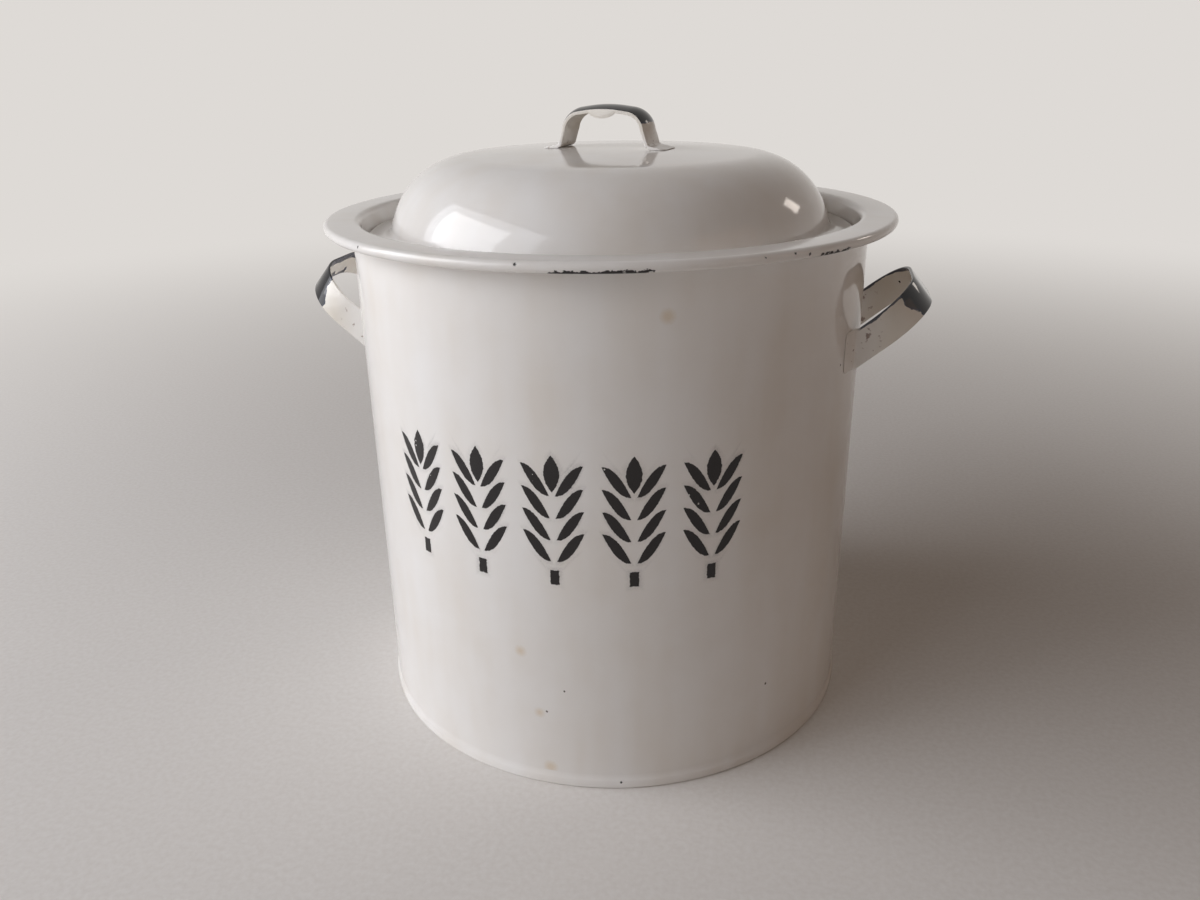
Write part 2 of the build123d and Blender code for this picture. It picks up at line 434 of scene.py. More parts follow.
@dataclass(frozen=True)
class VitreousEnamel:
    """White vitreous enamel: glass powder dipped or sprayed on sheet steel and fused in a kiln.

    It gives the eye a hard clear gloss over a warm white, with slow waves where the slip ran, the finest
    orange peel, and a few dark pinholes.
    """

    name: str = "vitreous_enamel_white"
    white: str = "#EFEDEB"
    warm: str = "#E8E3DD"
    pinhole: str = "#6E5F52"
    roughness: float = 0.085
    ior: float = 1.52
    mottle_mm: float = 46.0        # drifts of tone in the fired coat
    run_mm: float = 22.0           # width of the runs of slip, which hang downwards
    run_squeeze: float = 0.16      # their width as a share of their length
    wave_height_mm: float = 0.05   # relief of the runs
    peel_mm: float = 5.5           # pitch of the finer orange peel
    peel_height_mm: float = 0.004
    pinhole_pitch_mm: float = 21.0
    pinhole_radius_mm: float = 0.55
    pinhole_depth_mm: float = 0.1
    ragged_mm: float = 1.6         # how far a mark's border strays
    rag_per_mm: float = 1.3        # how finely it does
    radius: float = 140.0          # radius at which marks are placed
    pits: tuple[Mark, ...] = ()
    pit_soft: float = 0.15         # half the width of a pit's border, mm

    def material(self) -> bpy.types.Material:
        """Mixes the finish.

        Returns:
            The finished material.
        """
        mix, spot = self.start()
        colour, height = self.coat(mix, spot)
        return self.fuse(mix, colour, self.roughness, height)

    def start(self) -> tuple[Recipe, Socket]:
        """Starts the recipe.

        Returns:
            The empty recipe, and the shaded point in millimetres in Object coordinates.
        """
        mix = Recipe(bpy.data.materials.new(self.name))
        here = mix.add("TexCoord", out="Object")
        return mix, mix.add("VectorMath SCALE", {0: here, "Scale": 1 / MM})

    def unrolled(self, mix: Recipe, spot: Socket) -> Socket:
        """Unrolls the bin's round side: mm along its girth from the front, mm up, and radius in mm.

        Args:
            mix: The recipe.
            spot: The shaded point in millimetres.

        Returns:
            The unrolled point as a vector.
        """
        x, y, z = mix.add("SeparateXYZ", (spot,)).node.outputs[:3]
        front = mix.add("Math MULTIPLY", (y, -1.0))
        turn = mix.add("Math ARCTAN2", (x, front))
        girth = mix.add("Math MULTIPLY", (turn, self.radius))
        flat = mix.add("CombineXYZ", (x, y, 0.0))
        out = mix.add("VectorMath LENGTH", (flat,), out="Value")
        return mix.add("CombineXYZ", (girth, z, out))

    def coat(self, mix: Recipe, spot: Socket) -> tuple[Socket, Socket]:
        """Mixes the plain fired coat with its drifts, runs and pinholes.

        Args:
            mix: The recipe.
            spot: The shaded point in millimetres.

        Returns:
            The colour, and the height of the coat in millimetres.
        """
        drift = mix.add("TexNoise", {"Vector": spot, "Scale": 1 / self.mottle_mm, "Detail": 3.0})
        squeezed = mix.add("Mapping", {"Vector": spot, "Scale": (1.0, 1.0, self.run_squeeze)})
        runs = mix.add("TexNoise", {"Vector": squeezed, "Scale": 1 / self.run_mm, "Detail": 2.0})
        both = mix.add("Math MULTIPLY", (drift, runs))
        tone = mix.add("MapRange", (both, 0.12, 0.42, 0.0, 1.0))
        colour = mix.add("MixRGB", (tone, linear(self.white), linear(self.warm)))
        hole = self.specks(mix, spot, self.pinhole_pitch_mm, 0.8, self.pinhole_radius_mm)
        colour = mix.add("MixRGB", (hole, colour, linear(self.pinhole)))
        height = mix.add("Math MULTIPLY", (runs, self.wave_height_mm))
        peel = mix.add("TexNoise", {"Vector": spot, "Scale": 1 / self.peel_mm, "Detail": 1.0})
        for relief, rise in ((peel, self.peel_height_mm), (hole, -self.pinhole_depth_mm)):
            height = mix.add("Math MULTIPLY_ADD", (relief, rise, height))
        return colour, height

    def specks(self, mix: Recipe, where: Socket, pitch: float, bare: float, largest: float) -> Socket:
        """Scatters specks of all sizes up to the largest.

        Args:
            mix: The recipe.
            where: The point in millimetres.
            pitch: Spacing of the cells that may hold a speck, in mm.
            bare: Share of the cells that hold none.
            largest: Radius of the largest speck in mm.

        Returns:
            1 on a speck and 0 off it.
        """
        cells = mix.add("TexVoronoi", {"Vector": where, "Scale": 1 / pitch}, out="Distance")
        chance = mix.add("SeparateColor", (cells.node.outputs["Color"],))
        size = mix.add("MapRange", (chance, bare, 1.0, 0.0, largest / pitch))
        return mix.add("Math LESS_THAN", (cells, size))

    def marked(self, mix: Recipe, unrolled: Socket, marks: Sequence[Mark], soft: float) -> Value:
        """Covers the listed marks, each with a ragged border.

        Args:
            mix: The recipe.
            unrolled: The unrolled point.
            marks: The marks.
            soft: Half the width of their border in mm.

        Returns:
            1 on a mark and 0 off it.
        """
        fine = {"Scale": self.rag_per_mm, "Detail": 3.0}
        rag = mix.add("TexNoise", {"Vector": unrolled, **fine}, out="Color")
        shake = mix.add("VectorMath SUBTRACT", {0: rag, 1: (0.5, 0.5, 0.5)})
        shake = mix.add("VectorMath SCALE", {0: shake, "Scale": self.ragged_mm})
        torn = mix.add("VectorMath ADD", (unrolled, shake))
        on_side = mix.add("VectorMath MULTIPLY", (torn, (1.0, 1.0, 0.0)))
        cover: Value = 0.0
        for mark in marks:
            centre = (radians(mark.azimuth) * self.radius, mark.height, 0.0)
            away = mix.add("VectorMath DISTANCE", (on_side, centre), out="Value")
            inside = mix.add("MapRange", (away, mark.radius - soft, mark.radius + soft, 1.0, 0.0))
            cover = mix.add("Math MAXIMUM", (cover, inside))
        return cover

    def fuse(self, mix: Recipe, colour: Value, roughness: Value, height: Socket) -> bpy.types.Material:
        """Closes the recipe with a glass-like surface.

        Args:
            mix: The recipe.
            colour: The surface's colour.
            roughness: The surface's roughness.
            height: The relief in millimetres.

        Returns:
            The finished material.
        """
        bump = mix.add("Bump", {"Strength": 1.0, "Distance": MM, "Height": height})
        surface = mix.add(
            "BsdfPrincipled",
            {"Base Color": colour, "Roughness": roughness, "Normal": bump, "IOR": self.ior},
        )
        mix.add("OutputMaterial", {"Surface": surface})
        return mix.owner


@dataclass(frozen=True)
class StencilledEnamel(VitreousEnamel):
    """The bin's side: white enamel with black enamel brushed and sprayed through a cut stencil.

    It gives the eye crisp black strokes broken by the stencil's bridges, a faint grey dust of overspray
    beside them, and white specks where grit kept the black off. The stencil is a row of plain wheat ears.
    """

    name: str = "vitreous_enamel_stencilled"
    pit: str = "#4A3B33"
    stain: str = "#CFAE72"
    stain_share: float = 0.36
    stain_soft: float = 1.6        # half the width of a stain's border, mm
    stains: tuple[Mark, ...] = ()
    black: str = "#201C1D"
    black_roughness: float = 0.16
    black_mm: float = 0.035        # how thick the black lies on the white
    ears: int = 5
    ear_pitch: float = 38.8        # mm along the girth from ear to ear
    band_middle: float = 156.0     # mm up
    row_pitch: float = 11.6        # mm between the pairs of grains
    rise: float = 1.15             # how steeply a grain points up
    grain_reach: float = 6.9       # half the grain's length across
    grain_out: float = 8.3         # its middle, out from the ear's own middle
    grain_half: float = 4.2        # half its thickness
    top_up: float = 24.6           # the upright grain's middle, up from the band's
    top_reach: float = 9.4         # half its length
    top_half: float = 3.9          # half its thickness
    stalk_down: float = 30.2       # the stalk's middle, down from the band's
    stalk_reach: float = 4.0       # half its length
    stalk_half: float = 2.3        # half its thickness
    ragged_edge: float = 0.22      # how far the stroke's edge strays, mm
    rag_mm: float = 1.4            # how finely it does
    soft_mm: float = 0.12          # fade at the stencil's edge
    grit_pitch_mm: float = 4.2     # spacing of the specks of grit
    grit_radius_mm: float = 0.504
    dust_mm: float = 3.4           # how far the overspray drifts
    dust_patch_mm: float = 17.0    # size of its patches
    dust_grain_mm: float = 0.7     # its grain, drawn coarser than the real spray so that it shows

    def material(self) -> bpy.types.Material:
        """Mixes the finish.

        Returns:
            The finished material.
        """
        mix, spot = self.start()
        colour, height = self.coat(mix, spot)
        unrolled = self.unrolled(mix, spot)
        stained = self.marked(mix, unrolled, self.stains, self.stain_soft)
        faint = mix.add("Math MULTIPLY", (stained, self.stain_share))
        colour = mix.add("MixRGB", (faint, colour, linear(self.stain)))
        depth = self.ear_depth(mix, unrolled)
        rag = mix.add("TexNoise", {"Vector": spot, "Scale": 1 / self.rag_mm, "Detail": 4.0})
        rag = mix.add("MapRange", (rag, 0.3, 0.7, -self.ragged_edge, self.ragged_edge))
        depth = mix.add("Math ADD", (depth, rag))
        painted = mix.add("MapRange", (depth, -self.soft_mm, self.soft_mm, 0.0, 1.0))
        grit = self.specks(mix, spot, self.grit_pitch_mm, 0.72, self.grit_radius_mm)
        painted = mix.add("Math SUBTRACT", (painted, grit), use_clamp=True)
        patch = mix.add("TexNoise", {"Vector": spot, "Scale": 1 / self.dust_patch_mm, "Detail": 2.0})
        patch = mix.add("MapRange", (patch, 0.42, 0.7, 0.05, 0.5))
        grain = mix.add("TexNoise", {"Vector": spot, "Scale": 1 / self.dust_grain_mm, "Detail": 1.0})
        dust = mix.add("MapRange", (depth, -self.dust_mm, 0.6, 0.0, 1.0), interpolation_type="SMOOTHSTEP")
        for share in (patch, grain):
            dust = mix.add("Math MULTIPLY", (dust, share))
        cover = mix.add("Math MAXIMUM", (painted, dust))
        colour = mix.add("MixRGB", (cover, colour, linear(self.black)))
        pitted = self.marked(mix, unrolled, self.pits, self.pit_soft)
        colour = mix.add("MixRGB", (pitted, colour, linear(self.pit)))
        gloss = mix.add("MapRange", (painted, 0.0, 1.0, self.roughness, self.black_roughness))
        height = mix.add("Math MULTIPLY_ADD", (painted, self.black_mm, height))
        return self.fuse(mix, colour, gloss, height)

    def ear_depth(self, mix: Recipe, unrolled: Socket) -> Socket:
        """How deep the point lies inside the stencil's openings, in mm; below 0 outside them.

        Args:
            mix: The recipe.
            unrolled: The unrolled point.

        Returns:
            The depth.
        """
        girth, up = mix.add("SeparateXYZ", (unrolled,)).node.outputs[:2]
        across = mix.add("Math PINGPONG", (girth, self.ear_pitch / 2))
        level = mix.add("Math SUBTRACT", (up, self.band_middle))
        # Grains: slanting rows, each a pointed leaf in the row's own coordinates.
        lean = mix.add("Math MULTIPLY", (across, self.rise))
        row = mix.add("Math SUBTRACT", (level, lean))
        in_row = mix.add("Math PINGPONG", (row, self.row_pitch / 2))
        # Four rows: two and a half pitches below the middle, and one and a half above it.
        off = mix.add("Math ADD", (row, self.row_pitch / 2))
        off = mix.add("Math ABSOLUTE", (off,))
        in_rows = mix.add("Math SUBTRACT", (2 * self.row_pitch, off))
        # A leaf is as wide as a parabola: the grains across the row, the upright grain up the ear.
        leaves = []
        for along, middle, reach, half in (
            (across, self.grain_out, self.grain_reach, self.grain_half),
            (level, self.top_up, self.top_reach, self.top_half),
        ):
            away = mix.add("Math SUBTRACT", (along, middle))
            away = mix.add("Math MULTIPLY", (away, 1 / reach))
            away = mix.add("Math MULTIPLY", (away, away))
            left = mix.add("Math SUBTRACT", (1.0, away))
            leaves.append(mix.add("Math MULTIPLY", (left, half)))
        grains = mix.add("Math SUBTRACT", (leaves[0], in_row))
        grains = mix.add("Math MINIMUM", (grains, in_rows))
        top = mix.add("Math SUBTRACT", (leaves[1], across))
        stalk = mix.add("Math ADD", (level, self.stalk_down))
        stalk = mix.add("Math ABSOLUTE", (stalk,))
        stalk = mix.add("Math SUBTRACT", (self.stalk_reach, stalk))
        slim = mix.add("Math SUBTRACT", (self.stalk_half, across))
        stalk = mix.add("Math MINIMUM", (stalk, slim))
        # Only so many ears, in front.
        far = mix.add("Math ABSOLUTE", (girth,))
        band = mix.add("Math SUBTRACT", (self.ears * self.ear_pitch / 2, far))
        depth = grains
        for other, choice in ((top, "MAXIMUM"), (stalk, "MAXIMUM"), (band, "MINIMUM")):
            depth = mix.add(f"Math {choice}", (depth, other))
        return depth


@dataclass(frozen=True)
class ChippedEnamel(VitreousEnamel):
    """The rim: the same white enamel, knocked off the rolled lip in places.

    It gives the eye long ragged black chips on the lip's underside, where the ground coat and the bare
    iron show, and a few small round ones.
    """

    name: str = "vitreous_enamel_rim"
    ground_coat: str = "#191617"
    radius: float = 153.5
    chips_from: float = 149.5  # radius outside which it is chipped, mm
    torn_mm: float = 1.5       # how far a chip's border strays
    tear_mm: float = 2.6       # how finely it does
    chip_taper: float = 0.22   # how steeply its ends run out
    chip_depth_mm: float = 0.22
    chip_roughness: float = 0.55
    long_chips: tuple[tuple[float, float, float], ...] = ()  # azimuth, half length mm, top edge mm up

    def material(self) -> bpy.types.Material:
        """Mixes the finish.

        Returns:
            The finished material.
        """
        mix, spot = self.start()
        colour, height = self.coat(mix, spot)
        unrolled = self.unrolled(mix, spot)
        girth, up, out = mix.add("SeparateXYZ", (unrolled,)).node.outputs[:3]
        size = {"Scale": 1 / self.tear_mm, "Detail": 4.0, "Roughness": 0.62}
        rag = mix.add("TexNoise", {"Vector": unrolled, **size})
        torn = mix.add("MapRange", (rag, 0.25, 0.75, -self.torn_mm, self.torn_mm))
        on_lip = mix.add("Math GREATER_THAN", (out, self.chips_from))
        chipped: Value = 0.0
        for azimuth, half_length, top in self.long_chips:
            along = mix.add("Math SUBTRACT", (girth, radians(azimuth) * self.radius))
            along = mix.add("Math ABSOLUTE", (along,))
            ends = mix.add("Math SUBTRACT", (half_length, along))
            ends = mix.add("Math MULTIPLY", (ends, self.chip_taper))
            low = mix.add("Math SUBTRACT", (top, up))
            depth = mix.add("Math MINIMUM", (ends, low))
            depth = mix.add("Math ADD", (depth, torn))
            bare = mix.add("MapRange", (depth, 0.0, 0.12, 0.0, 1.0))
            chipped = mix.add("Math MAXIMUM", (chipped, bare))
        chipped = mix.add("Math MULTIPLY", (chipped, on_lip))
        pitted = self.marked(mix, unrolled, self.pits, self.pit_soft)
        chipped = mix.add("Math MAXIMUM", (chipped, pitted))
        colour = mix.add("MixRGB", (chipped, colour, linear(self.ground_coat)))
        gloss = mix.add("MapRange", (chipped, 0.0, 1.0, self.roughness, self.chip_roughness))
        height = mix.add("Math MULTIPLY_ADD", (chipped, -self.chip_depth_mm, height))
        return self.fuse(mix, colour, gloss, height)


class Dip(Enum):
    """How much of a strap handle was dipped again in black."""

    GRIP = "grip"    # a side handle, held by its feet and dipped down to its bends
    CROWN = "crown"  # the lid's handle, whose upper face alone was touched with black


@dataclass(frozen=True)
class DippedEnamel(VitreousEnamel):
    """A strap handle: cream-white enamel with its grip dipped once more in blue-black.

    It gives the eye a wandering glossy border between the two, thin blue-black lines left along the
    strap's upper edge, and a few dark spots.
    """

    name: str = "vitreous_enamel_dipped"
    white: str = "#EBE7E0"
    warm: str = "#E0D8CB"
    foot_white: str = "#EDEAE6"  # the wall's own enamel runs over the feet
    black: str = "#15161D"
    edge_blue: str = "#27314A"
    spot: str = "#2A211D"
    rust: str = "#6B3F22"
    rust_mm: float = 3.2       # size of the rust's grains
    ior: float = 1.4           # below enamel's 1.5, so that the black stays as deep as on the real grips
    spot_pitch_mm: float = 9.5
    spot_radius_mm: float = 1.235  # radius of the largest dark spot
    black_mm: float = 0.12     # how thick the black lies on the cream
    dip: Dip = Dip.GRIP
    slope: float = 40.0
    border: float = 27.5       # mm from the wall along the slope
    root_height: float = 220.0
    wall_radius: float = 140.0
    half_width: float = 8.25
    side: int = 1              # +1 on the right, -1 on the left
    opening_out: float = 14.0  # middle of the handle's opening, mm from the wall along the slope
    inside_bare: float = 14.0  # how much further out the dip starts on the strap's inner face, mm
    border_sway: float = 3.2   # how far the border strays, mm
    crown_sway: float = 0.9    # the same on the lid's handle
    sway_mm: float = 9.0       # how finely it does
    border_tilt: float = 0.2   # how far the border moves out per mm down the strap
    line_mm: float = 1.0       # width of the dark line along the strap's upper edge
    near_leg_line: bool = True  # False where the leg nearer the front has no such line
    foot_reach: tuple[float, float] = (2.0, 14.0)     # mm off the wall, where the foot's white fades out
    foot_heights: tuple[float, float] = (316.5, 324.0)  # mm up, the same on the lid's handle

    def material(self) -> bpy.types.Material:
        """Mixes the finish.

        Returns:
            The finished material.
        """
        mix, spot = self.start()
        colour, height = self.coat(mix, spot)
        at_foot = self.foot_share(mix, spot)
        colour = mix.add("MixRGB", (at_foot, colour, linear(self.foot_white)))
        wander = mix.add("TexNoise", {"Vector": spot, "Scale": 1 / self.sway_mm, "Detail": 3.0})
        wander = mix.add("MapRange", (wander, 0.2, 0.8, -1.0, 1.0))
        if self.dip is Dip.GRIP:
            depth, edge_line = self.grip_depth(mix, spot, wander)
            colour = mix.add("MixRGB", (edge_line, colour, linear(self.edge_blue)))
        else:
            depth = self.crown_depth(mix, spot, wander)
        dipped = mix.add("MapRange", (depth, 0.0, 0.3, 0.0, 1.0))
        bluish = mix.add("MapRange", (depth, 0.2, 1.6, 1.0, 0.0))
        dark = mix.add("MixRGB", (bluish, linear(self.black), linear(self.edge_blue)))
        colour = mix.add("MixRGB", (dipped, colour, dark))
        jitter = mix.add("TexNoise", {"Vector": spot, "Scale": 1 / 1.6, "Detail": 2.0}, out="Color")
        ragged = mix.add("VectorMath SCALE", {0: jitter, "Scale": 1.5})
        ragged = mix.add("VectorMath ADD", (spot, ragged))
        spots = self.specks(mix, ragged, self.spot_pitch_mm, 0.66, self.spot_radius_mm)
        spots = mix.add("Math SUBTRACT", (spots, at_foot), use_clamp=True)
        colour = mix.add("MixRGB", (spots, colour, linear(self.spot)))
        worn = mix.add("TexNoise", {"Vector": spot, "Scale": 1 / self.rust_mm, "Detail": 4.0})
        worn = mix.add("MapRange", (worn, 0.62, 0.67, 0.0, 0.7))
        worn = mix.add("Math MULTIPLY", (worn, at_foot))
        colour = mix.add("MixRGB", (worn, colour, linear(self.rust)))
        height = mix.add("Math MULTIPLY_ADD", (dipped, self.black_mm, height))
        return self.fuse(mix, colour, self.roughness, height)

    def grip_depth(self, mix: Recipe, spot: Socket, wander: Socket) -> tuple[Socket, Socket]:
        """How far past the dip's border a point of a side handle lies, and the line on the strap's edge.

        Args:
            mix: The recipe.
            spot: The shaded point in millimetres.
            wander: Noise from -1 to 1.

        Returns:
            The depth in mm, and 1 on the line.
        """
        lean = radians(self.slope)
        root = (self.wall_radius, 0.0, self.root_height)
        mirrored = mix.add("VectorMath ABSOLUTE", (spot,))
        from_root = mix.add("VectorMath SUBTRACT", (mirrored, root))
        slope_way, across_way = (cos(lean), 0.0, sin(lean)), (-sin(lean), 0.0, cos(lean))
        reach = mix.add("VectorMath DOT_PRODUCT", (from_root, slope_way), out="Value")
        across = mix.add("VectorMath DOT_PRODUCT", (from_root, across_way), out="Value")
        depth = mix.add("Math SUBTRACT", (reach, self.border))
        for share, gain in ((wander, self.border_sway), (across, self.border_tilt)):
            depth = mix.add("Math MULTIPLY_ADD", (share, gain, depth))
        # A face that looks at the middle of the handle's opening is the strap's inner face.
        out, up = self.opening_out * cos(lean), self.opening_out * sin(lean)
        opening = (self.side * (self.wall_radius + out), 0.0, self.root_height + up)
        strap_normal = (-self.side * sin(lean), 0.0, cos(lean))
        inwards = mix.add("VectorMath SUBTRACT", {0: opening, 1: spot})
        lift = mix.add("VectorMath DOT_PRODUCT", (inwards, strap_normal), out="Value")
        lift = mix.add("VectorMath SCALE", {0: strap_normal, "Scale": lift})
        inwards = mix.add("VectorMath SUBTRACT", (inwards, lift))
        facing = mix.add("NewGeometry", out="True Normal")
        inner = mix.add("VectorMath DOT_PRODUCT", (inwards, facing), out="Value")
        inner = mix.add("MapRange", (inner, 2.0, 6.0, 0.0, -self.inside_bare))
        depth = mix.add("Math ADD", (depth, inner))
        edge = mix.add("Math SUBTRACT", (across, self.half_width - self.line_mm))
        shifts = [mix.add("MapRange", (reach, 22.0, 36.0, 0.0, self.line_mm)), wander]
        if not self.near_leg_line:
            y = mix.add("SeparateXYZ", (spot,), out=1)
            shifts.append(mix.add("MapRange", (y, -32.0, -14.0, -7.0, 0.0)))
        for shift in shifts:
            edge = mix.add("Math ADD", (edge, shift))
        line = mix.add("MapRange", (edge, 0.0, 0.25, 0.0, 0.9))
        off_foot = mix.add("MapRange", (reach, 3.0, 5.0, 0.0, 1.0))
        return depth, mix.add("Math MULTIPLY", (line, off_foot))

    def crown_depth(self, mix: Recipe, spot: Socket, wander: Socket) -> Socket:
        """The same depth for the lid's handle, whose faces that look up are dark.

        Args:
            mix: The recipe.
            spot: The shaded point in millimetres.
            wander: Noise from -1 to 1.

        Returns:
            The depth in mm.
        """
        facing = mix.add("NewGeometry", out="True Normal")
        tilt = mix.add("SeparateXYZ", (facing,), out=2)
        tilt = mix.add("MapRange", (tilt, 0.0, 1.0, -1.5, 4.5))
        z = mix.add("SeparateXYZ", (spot,), out=2)
        high = mix.add("Math SUBTRACT", (z, self.root_height))
        depth = mix.add("Math MINIMUM", (tilt, high))
        return mix.add("Math MULTIPLY_ADD", (wander, self.crown_sway, depth))

    def foot_share(self, mix: Recipe, spot: Socket) -> Socket:
        """Gives 1 at the feet, where the enamel cracks and rust comes through, and 0 above them.

        Args:
            mix: The recipe.
            spot: The shaded point in millimetres.

        Returns:
            The share.
        """
        x, _, z = mix.add("SeparateXYZ", (spot,)).node.outputs[:3]
        if self.dip is Dip.CROWN:
            return mix.add("MapRange", (z, *self.foot_heights, 1.0, 0.0))
        x = mix.add("Math ABSOLUTE", (x,))
        start, end = (self.wall_radius + off for off in self.foot_reach)
        return mix.add("MapRange", (x, start, end, 1.0, 0.0))


@dataclass(frozen=True)
class DrawnSteelWire:
    """Drawn steel wire, rolled into the lip: grey metal with fine lines along it and brown bloom."""

    name: str = "drawn_steel_wire"
    steel: str = "#8E8A86"
    bloom: str = "#6A4F3B"
    bloom_mm: float = 9.0
    line_mm: float = 0.6

    def material(self) -> bpy.types.Material:
        """Mixes the finish.

        Returns:
            The finished material.
        """
        mix = Recipe(bpy.data.materials.new(self.name))
        here = mix.add("TexCoord", out="Object")
        cloud = mix.add("TexNoise", {"Vector": here, "Scale": 1 / (self.bloom_mm * MM), "Detail": 4.0})
        share = mix.add("MapRange", (cloud, 0.45, 0.7, 0.0, 0.8))
        colour = mix.add("MixRGB", (share, linear(self.steel), linear(self.bloom)))
        lines = mix.add("TexNoise", {"Vector": here, "Scale": 1 / (self.line_mm * MM), "Detail": 1.0})
        rough = mix.add("MapRange", (lines, 0.3, 0.7, 0.28, 0.5))
        bump = mix.add("Bump", {"Strength": 0.4, "Distance": 0.02 * MM, "Height": lines})
        surface = mix.add(
            "BsdfPrincipled",
            {"Base Color": colour, "Metallic": 1.0, "Roughness": rough, "Normal": bump},
        )
        mix.add("OutputMaterial", {"Surface": surface})
        return mix.owner


@dataclass(frozen=True)
class PaleFloor:
    """A matt pale studio floor with the faintest grain, which fades into the pale surroundings."""

    name: str = "pale_matt_floor"
    pale: str = "#E8E5E2"
    grain: str = "#E1DDD9"
    grain_mm: float = 3.0
    fade_from: float = 0.3  # metres from the bin's axis
    fade_to: float = 1.8

    def material(self) -> bpy.types.Material:
        """Mixes the finish.

        Returns:
            The finished material.
        """
        mix = Recipe(bpy.data.materials.new(self.name))
        here = mix.add("TexCoord", out="Object")
        grain = mix.add("TexNoise", {"Vector": here, "Scale": 1 / (self.grain_mm * MM), "Detail": 3.0})
        tone = mix.add("MapRange", (grain, 0.3, 0.7, 0.0, 1.0))
        colour = mix.add("MixRGB", (tone, linear(self.pale), linear(self.grain)))
        surface = mix.add("BsdfPrincipled", {"Base Color": colour, "Roughness": 0.85})
        # Far from the bin, whatever sees the floor sees the colour of the surroundings.
        away = mix.add("VectorMath LENGTH", (here,), out="Value")
        far = mix.add(
            "MapRange", (away, self.fade_from, self.fade_to, 0.0, 1.0), interpolation_type="SMOOTHSTEP"
        )
        share = mix.add("Math MULTIPLY", (mix.sees_surroundings(), far))
        backdrop = mix.add("Emission", {"Color": linear(BACKDROP), "Strength": 1.0})
        mixed = mix.add("MixShader", (share, surface, backdrop))
        mix.add("OutputMaterial", {"Surface": mixed})
        return mix.owner


# ---- sub-assemblies -----------------------------------------------------------------------------
def hand_over(piece: bpy.types.Object, node: str, body: str, finish: bpy.types.Material) -> None:
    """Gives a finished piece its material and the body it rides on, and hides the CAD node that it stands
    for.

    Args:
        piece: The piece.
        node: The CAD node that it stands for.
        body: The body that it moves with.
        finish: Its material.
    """
    piece.data.materials.clear()
    piece.data.materials.append(finish)
    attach(piece, body)
    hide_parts(node)
    log.info("%s stands for %s on %s", piece.name, node, body)


@dataclass
class Wall:
    """The bin's side: one sheet rolled round, lapped at the back."""

    radius: float = 140.0
    sheet: float = 1.0
    bottom: float = 1.2
    top: float = 281.0
    lap_bottom: float = 6.1
    lap_width: float = 9.2
    lap_rise: float = 0.6
    lap_round: float = 0.45

    def build(self) -> bpy.types.Object:
        """Models the wall.

        Returns:
            The piece.
        """
        piece = start_piece("wall_sheet")
        line = SheetLine(self.radius - self.sheet / 2, self.bottom + self.sheet / 2, 90, self.sheet)
        line.ahead(self.lap_bottom - line.z)
        line.ahead(self.top - self.sheet / 2 - line.z, 24)
        draw_line(line.outline(rounded_start=True))
        spin_round()
        reach = self.lap_width / 2 * MM
        pick(
            "FACE",
            lambda f: f.normal.y > 0.99
            and abs(f.calc_center_median().x) < reach
            and self.lap_bottom * MM < f.calc_center_median().z < (self.top - self.sheet) * MM,
        )
        bpy.ops.mesh.extrude_region_shrink_fatten(TRANSFORM_OT_shrink_fatten={"value": self.lap_rise * MM})
        proud = (self.radius + self.lap_rise / 2) * MM
        pick(
            "EDGE",
            lambda e: all(hypot(v.co.x, v.co.y) > proud and v.co.y > 0 for v in e.verts)
            and abs(abs(e.verts[0].co.x) - reach) < 0.3 * MM
            and abs(e.verts[0].co.x - e.verts[1].co.x) < 0.01 * MM,
        )
        bpy.ops.mesh.bevel(offset=self.lap_round * MM, segments=3)
        weld()
        return finish_piece(piece)

    def finish(self) -> bpy.types.Material:
        """Mixes the stencilled enamel, with the stains and pits that the photograph shows.

        Returns:
            The finished material.
        """
        stains = ((-8.2, 80.3, 2.2), (-4.5, 44.4, 1.9), (-2.5, 10.4, 2.9), (22.0, 254.9, 2.7))
        pits = ((-2.9, 45.7, 0.55), (1.1, 59.7, 0.45), (47.0, 47.0, 0.6), (67.6, 213.4, 0.7))
        stains, pits = (tuple(Mark(*mark) for mark in marks) for marks in (stains, pits))
        return StencilledEnamel(stains=stains, pits=pits).material()


